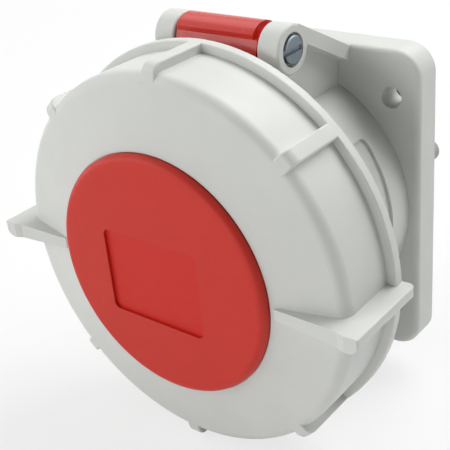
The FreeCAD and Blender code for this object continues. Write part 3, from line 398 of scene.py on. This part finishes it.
def near(tree, value, middle_mm, half_mm):
    """1 where a coordinate is within half_mm of middle_mm, else 0."""
    compare = tree.nodes.new("ShaderNodeMath")
    compare.operation = "COMPARE"
    compare.inputs[1].default_value = middle_mm * MM
    compare.inputs[2].default_value = half_mm * MM
    tree.links.new(value, compare.inputs[0])
    return compare.outputs[0]


cap_tree = finishes["red_cap"].node_tree
cap_front_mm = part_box("lid_cap")[0][1] / MM
axes = cap_tree.nodes.new("ShaderNodeSeparateXYZ")
cap_tree.links.new(place_on_object(cap_tree), axes.inputs[0])
across = near(cap_tree, axes.outputs["X"], FIELD_CENTRE_MM, FIELD_HALF_WIDTH_MM)
upright = near(cap_tree, axes.outputs["Z"], FIELD_CENTRE_MM, FIELD_HALF_HEIGHT_MM)
sunken = near(cap_tree, axes.outputs["Y"], cap_front_mm + 2 * FIELD_MIDWAY_MM, FIELD_MIDWAY_MM)
outline = combine(cap_tree, "MULTIPLY", across, upright)
in_field = combine(cap_tree, "MULTIPLY", outline, sunken)
print("disc front at", round(cap_front_mm, 2), "mm")

# %% [markdown]
# A Mix node then takes the painted deeper red inside the box and the drifting red outside it. The
# node has a set of sockets for each kind of value, and those for colours are known by their
# number.

# %% Paint the label field a deeper red in place of its lesser haze
# Painted reflection: this deeper red stands in for the haze that the polished field reflects less
# of.
FIELD_RED_PAINTED_FOR_LESS_HAZE = (0.58, 0.019, 0.009)
MIX_SHARE = 0
MIX_FIRST_COLOUR = 6
MIX_SECOND_COLOUR = 7
MIX_COLOUR_OUT = 2

# The mix paints the field's lesser haze into the base colour as a deeper red.
reds = cap_tree.nodes.new("ShaderNodeMix")
reds.data_type = "RGBA"
reds.inputs[MIX_SECOND_COLOUR].default_value = (*FIELD_RED_PAINTED_FOR_LESS_HAZE, 1)
cap_colour = cap_tree.nodes["Principled BSDF"].inputs["Base Color"]
cap_tree.links.new(cap_colour.links[0].from_socket, reds.inputs[MIX_FIRST_COLOUR])
cap_tree.links.new(in_field, reds.inputs[MIX_SHARE])
cap_tree.links.new(reds.outputs[MIX_COLOUR_OUT], cap_colour)
print("field of", 2 * FIELD_HALF_WIDTH_MM, "by", 2 * FIELD_HALF_HEIGHT_MM, "mm")

# %% [markdown]
# ## Turned and plated metal
#
# The pin, the screws and the contacts are turned on a lathe, which leaves fine rings. Each ring
# could be drawn by a wave texture, but waves are too even. Noise that is stretched across the
# axis and left fine along it gives rings that come and go. The pin lies across the socket, and
# its zinc plating is blue grey.

# %% Turn the pin
FINE_ACROSS_SOCKET = (1.0, 0.08, 0.08)
PATCH_MM = 1.8
PATCH_DRIFT = 0.06
POLISHED_BY = 0.05
DULLED_BY = 0.07
PIN_ZINC = (0.195, 0.23, 0.255)


def turned_metal(name, colour, roughness, fineness, mark_mm=0.12, depth_mm=0.003):
    """Metal with marks as a lathe leaves, fine in the direction where fineness is 1."""
    material = plain_material(name, colour, roughness)
    tree = material.node_tree
    shader = tree.nodes["Principled BSDF"]
    shader.inputs["Metallic"].default_value = 1.0
    place = place_on_object(tree)
    stretch = tree.nodes.new("ShaderNodeVectorMath")
    stretch.operation = "MULTIPLY"
    stretch.inputs[1].default_value = fineness
    tree.links.new(place, stretch.inputs[0])
    marks = noise(tree, stretch.outputs["Vector"], mark_mm, detail=1.0)
    patches = noise(tree, place, PATCH_MM)
    tree.links.new(drift(tree, patches, colour, PATCH_DRIFT), shader.inputs["Base Color"])
    uneven = spread(tree, patches, roughness - POLISHED_BY, roughness + DULLED_BY)
    tree.links.new(uneven, shader.inputs["Roughness"])
    add_grain(tree, marks, depth_mm)
    return material


finishes["pin_steel"] = turned_metal("pin_zinc_steel", PIN_ZINC, 0.46, FINE_ACROSS_SOCKET)
print("pin patches", PATCH_MM, "mm wide")

# %% [markdown]
# The contacts are bare brass. They and most of the screws lie along the socket's axis. The lid's
# spring and the contacts' grip rings are bright wire, drawn and not turned, and its marks are
# made the same way.

# %% Turn the screws and contacts, and draw the wire
FINE_ALONG_SOCKET = (0.05, 1.0, 0.05)
SCREW_ZINC = (0.52, 0.53, 0.54)
SPRING_WIRE = (0.42, 0.42, 0.43)
BRASS = (0.74, 0.53, 0.23)

finishes["screw_steel"] = turned_metal("screw_zinc_steel", SCREW_ZINC, 0.30, FINE_ALONG_SOCKET)
finishes["spring_steel"] = turned_metal("spring_steel", SPRING_WIRE, 0.28, FINE_ACROSS_SOCKET)
finishes["contact_brass"] = turned_metal("contact_brass", BRASS, 0.24, FINE_ALONG_SOCKET)
print(len(finishes), "finishes in all")

# %% [markdown]
# ## Dressing the pieces
#
# The model's record says which finish each piece has. Only the material slots of the CAD pieces
# are filled, and their shapes stay as they are.

# %% Give every piece its finish
slot_of = {part["node"]: part["material_slot"] for part in frame["record"]["subparts"]}
for node_name, piece in frame["nodes"].items():
    piece.data.materials.clear()
    piece.data.materials.append(finishes[slot_of[node_name]])
print("dressed", len(slot_of), "pieces")
